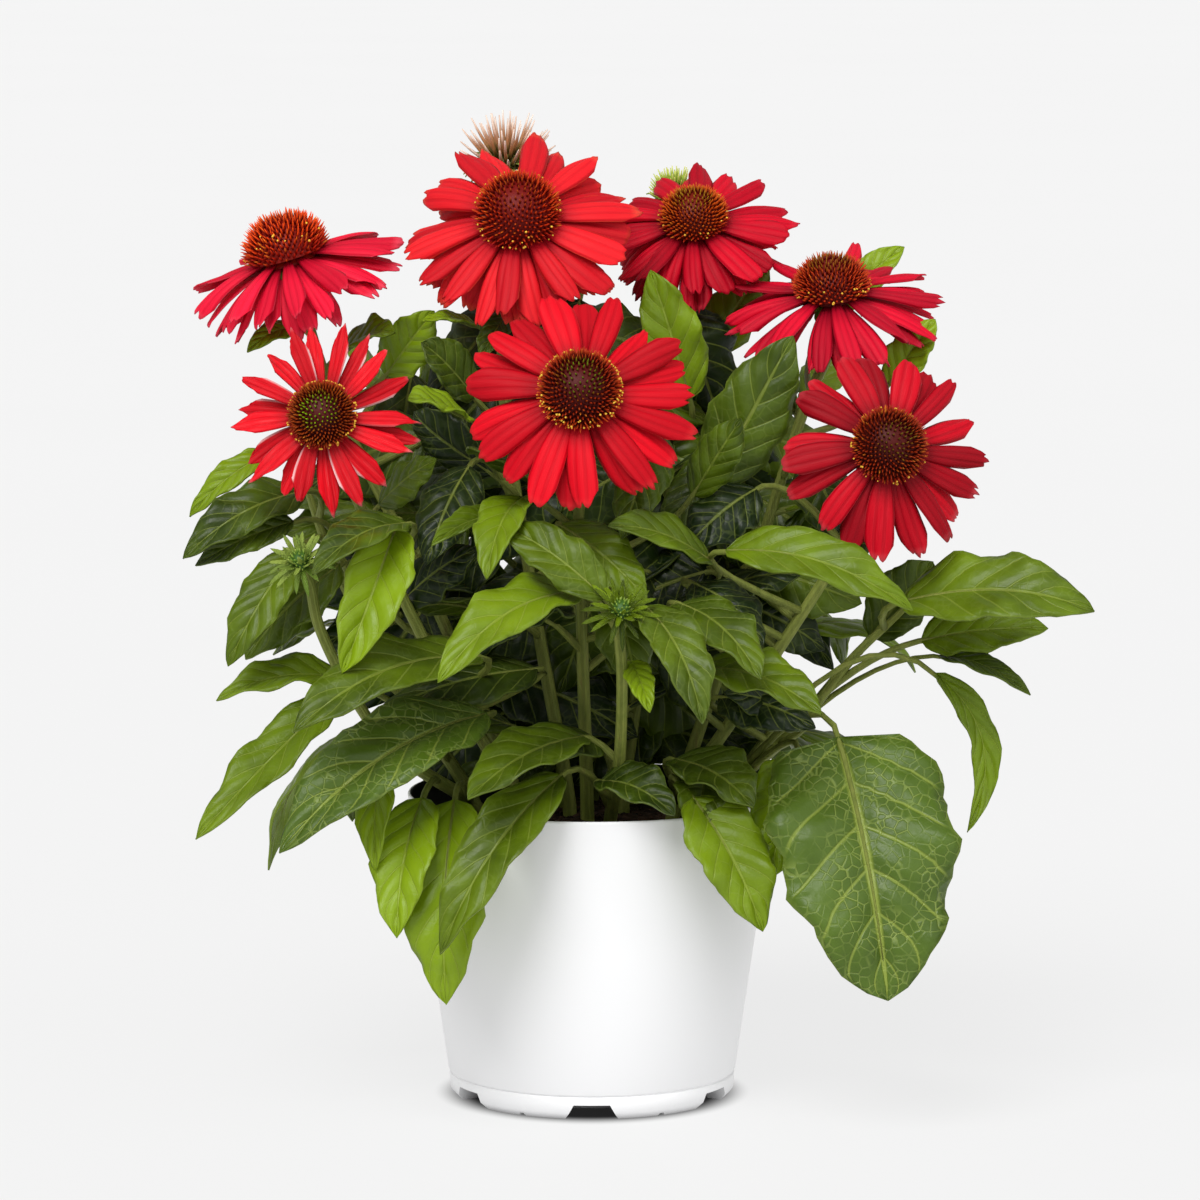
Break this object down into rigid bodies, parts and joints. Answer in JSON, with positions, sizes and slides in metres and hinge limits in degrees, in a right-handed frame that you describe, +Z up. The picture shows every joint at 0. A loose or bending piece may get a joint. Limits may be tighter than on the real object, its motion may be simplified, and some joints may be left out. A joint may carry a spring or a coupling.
{
  "type": "potted coneflower",
  "caption": "Bushy coneflower with red, cone-centred blooms, buds and pointed toothed leaves, growing in soil in a tapered white plastic nursery pot.",
  "frame": {"origin": "on the pot's axis, on the plane that the pot stands on", "axes": "+Z up along the pot's axis, -Y towards the side that the blooms face in the picture, +X to its right"},
  "size_m": [0.3984, 0.3037, 0.4363],
  "materials": {
    "white_plastic": "smooth, satin",
    "peat_soil": "crumbly, matte",
    "red_petal": "velvety, ribbed lengthwise",
    "cone_floret": "stiff pointed florets",
    "pink_bristle": "soft bristles",
    "green_bristle": "soft bristles",
    "bud_bract": "matte, leafy bracts",
    "leaf_green": "veined, slightly glossy"
  },
  "bodies": {
    "root": {"pot": "white_plastic", "soil": "peat_soil", "rays_left_high": "red_petal", "cone_left_high": "cone_floret", "rays_top": "red_petal", "cone_top": "cone_floret", "rays_right_back": "red_petal", "cone_right_back": "cone_floret", "rays_right_high": "red_petal", "cone_right_high": "cone_floret", "rays_left_front": "red_petal", "cone_left_front": "cone_floret", "rays_middle": "red_petal", "cone_middle": "cone_floret", "rays_right_front": "red_petal", "cone_right_front": "cone_floret", "head_left": "pink_bristle", "head_right": "green_bristle", "bud_left": "bud_bract", "bud_middle": "bud_bract", "stem_left_high": "leaf_green", "stem_top": "leaf_green", "stem_right_back": "leaf_green", "stem_right_high": "leaf_green", "stem_left_front": "leaf_green", "stem_middle": "leaf_green", "stem_right_front": "leaf_green", "stem_head_left": "leaf_green", "stem_head_right": "leaf_green", "stem_bud_left": "leaf_green", "stem_bud_middle": "leaf_green", "shoot_left": "leaf_green", "shoot_right": "leaf_green", "shoot_back_left": "leaf_green", "shoot_back": "leaf_green", "shoot_back_right": "leaf_green"}
  },
  "joints": []
}
